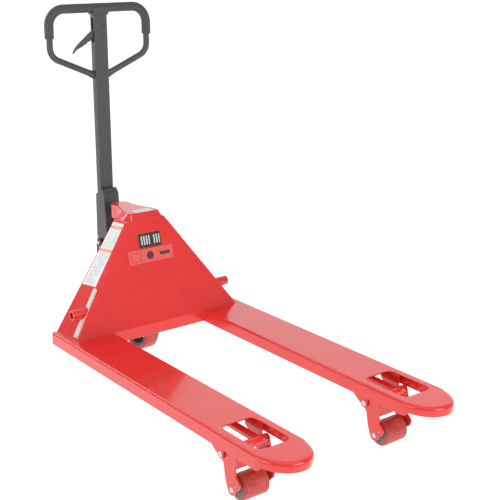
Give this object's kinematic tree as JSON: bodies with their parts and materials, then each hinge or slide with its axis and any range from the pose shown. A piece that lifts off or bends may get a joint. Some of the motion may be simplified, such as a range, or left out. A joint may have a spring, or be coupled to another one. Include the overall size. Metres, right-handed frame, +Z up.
{
  "type": "hand pallet jack",
  "caption": "Low-lift hand pallet jack with two forks, steering pump head, pump handle with loop grip and finger lever, and coupled load rollers.",
  "frame": {"origin": "centre of the bounding box on the floor, with the forks fully raised", "axes": "+X towards the fork tips, +Y to the left fork as seen by the operator, +Z up"},
  "size_m": [1.4346, 0.685, 1.2352],
  "materials": {
    "red_paint": "glossy red powder coat",
    "dark_grey_paint": "semi-gloss dark grey powder coat",
    "grip_plastic": "smooth moulded grip sleeve",
    "zinc_steel": "bright zinc plate",
    "chrome_steel": "ground hard chrome",
    "red_polyurethane": "moulded polyurethane tread",
    "hub_grey": "grey cast roller core",
    "dark_casting": "dark painted casting",
    "seal_rubber": "matt"
  },
  "bodies": {
    "chassis": {"fork_left": "red_paint", "fork_right": "red_paint", "front_plate": "red_paint", "front_apron": "red_paint", "side_plate_left": "red_paint", "side_plate_right": "red_paint", "top_cap": "red_paint", "pivot_boss_left": "red_paint", "pivot_boss_right": "red_paint", "lug_left_inner": "red_paint", "lug_left_outer": "red_paint", "lug_right_inner": "red_paint", "lug_right_outer": "red_paint", "load_frame_pin_left": "zinc_steel", "load_frame_pin_right": "zinc_steel"},
    "ram": {"ram": "chrome_steel"},
    "pump": {"pump_base": "red_paint", "pump_cylinder": "red_paint", "wiper_seal": "seal_rubber", "axle_housing": "dark_casting", "thrust_bearing": "zinc_steel", "steer_axle": "zinc_steel", "plunger_housing": "red_paint", "plunger_spring": "zinc_steel"},
    "plunger": {"plunger": "zinc_steel"},
    "handle": {"handle_base": "dark_grey_paint", "handle_shaft": "dark_grey_paint", "handle_loop_left": "dark_grey_paint", "handle_loop_right": "dark_grey_paint", "grip_sleeve": "grip_plastic", "head_plate": "dark_grey_paint", "handle_pin": "zinc_steel", "handle_roller": "zinc_steel", "handle_roller_pin": "zinc_steel", "lever_pin": "zinc_steel"},
    "control_lever": {"control_lever": "dark_casting"},
    "rocker": {"rocker_yoke": "red_paint", "rocker_shaft": "zinc_steel", "rocker_lever_left": "red_paint", "rocker_lever_right": "red_paint", "lever_end_pin_left": "zinc_steel", "lever_end_pin_right": "zinc_steel"},
    "steer_wheel_left": {"steer_hub_left": "dark_casting", "steer_tread_left": "red_polyurethane"},
    "load_frame_left": {"load_frame_left": "red_paint", "rod_pin_left": "zinc_steel", "roller_axle_left": "zinc_steel"},
    "load_roller_left": {"roller_core_left": "hub_grey", "roller_tread_left": "red_polyurethane"},
    "push_rod_left": {"push_rod_left": "red_paint"},
    "steer_wheel_right": {"steer_hub_right": "dark_casting", "steer_tread_right": "red_polyurethane"},
    "load_frame_right": {"load_frame_right": "red_paint", "rod_pin_right": "zinc_steel", "roller_axle_right": "zinc_steel"},
    "load_roller_right": {"roller_core_right": "hub_grey", "roller_tread_right": "red_polyurethane"},
    "push_rod_right": {"push_rod_right": "red_paint"}
  },
  "joints": [
    {"name": "steering", "type": "hinge", "parent": "chassis", "child": "ram", "pos_m": [-0.58769, 0, 0.4], "axis": [0, 0, 1], "range_deg": [-90, 90]},
    {"name": "lift", "type": "slide", "parent": "ram", "child": "pump", "axis": [0, 0, 1], "range_m": [0, 0.11]},
    {"name": "handle_tilt", "type": "hinge", "parent": "pump", "child": "handle", "pos_m": [-0.67469, 0, 0.405], "axis": [0, -1, 0], "range_deg": [0, 75], "stiffness_Nm_per_rad": 20, "springref_deg": -20.05},
    {"name": "lever_squeeze", "type": "hinge", "parent": "handle", "child": "control_lever", "pos_m": [-0.68369, 0.014, 1.155], "axis": [-1, 0, 0], "range_deg": [-8, 14], "stiffness_Nm_per_rad": 2},
    {"name": "plunger_stroke", "type": "slide", "parent": "pump", "child": "plunger", "axis": [0, 0, 1], "range_m": [-0.03186, 0], "deforming": ["plunger_spring"]},
    {"name": "rocker_turn", "type": "hinge", "parent": "chassis", "child": "rocker", "pos_m": [-0.38969, 0, 0.27], "axis": [0, 1, 0], "range_deg": [0, 31.71]},
    {"name": "steer_wheel_left_spin", "type": "hinge", "parent": "pump", "child": "steer_wheel_left", "pos_m": [-0.60969, 0.081, 0.08972], "axis": [0, 1, 0], "continuous": true},
    {"name": "load_frame_left_swing", "type": "hinge", "parent": "chassis", "child": "load_frame_left", "pos_m": [0.45131, 0.2615, 0.128], "axis": [0, -1, 0], "range_deg": [0, 76.34]},
    {"name": "push_rod_left_swing", "type": "hinge", "parent": "load_frame_left", "child": "push_rod_left", "pos_m": [0.49431, 0.2615, 0.155], "axis": [0, -1, 0], "range_deg": [-75.05, 0]},
    {"name": "load_roller_left_spin", "type": "hinge", "parent": "load_frame_left", "child": "load_roller_left", "pos_m": [0.49331, 0.2615, 0.03732], "axis": [0, 1, 0], "continuous": true},
    {"name": "steer_wheel_right_spin", "type": "hinge", "parent": "pump", "child": "steer_wheel_right", "pos_m": [-0.60969, -0.081, 0.08972], "axis": [0, 1, 0], "continuous": true},
    {"name": "load_frame_right_swing", "type": "hinge", "parent": "chassis", "child": "load_frame_right", "pos_m": [0.45131, -0.2615, 0.128], "axis": [0, -1, 0], "range_deg": [0, 76.34]},
    {"name": "push_rod_right_swing", "type": "hinge", "parent": "load_frame_right", "child": "push_rod_right", "pos_m": [0.49431, -0.2615, 0.155], "axis": [0, -1, 0], "range_deg": [-75.05, 0]},
    {"name": "load_roller_right_spin", "type": "hinge", "parent": "load_frame_right", "child": "load_roller_right", "pos_m": [0.49331, -0.2615, 0.03732], "axis": [0, 1, 0], "continuous": true}
  ],
  "couplings": [
    {"joint": "plunger_stroke", "follows": "handle_tilt", "m_per_rad": -0.024183},
    {"joint": "rocker_turn", "follows": "lift", "rad_per_m": 5.0228},
    {"joint": "load_frame_left_swing", "follows": "lift", "rad_per_m": 12.105},
    {"joint": "push_rod_left_swing", "follows": "lift", "rad_per_m": -11.9},
    {"joint": "load_frame_right_swing", "follows": "lift", "rad_per_m": 12.105},
    {"joint": "push_rod_right_swing", "follows": "lift", "rad_per_m": -11.9}
  ]
}
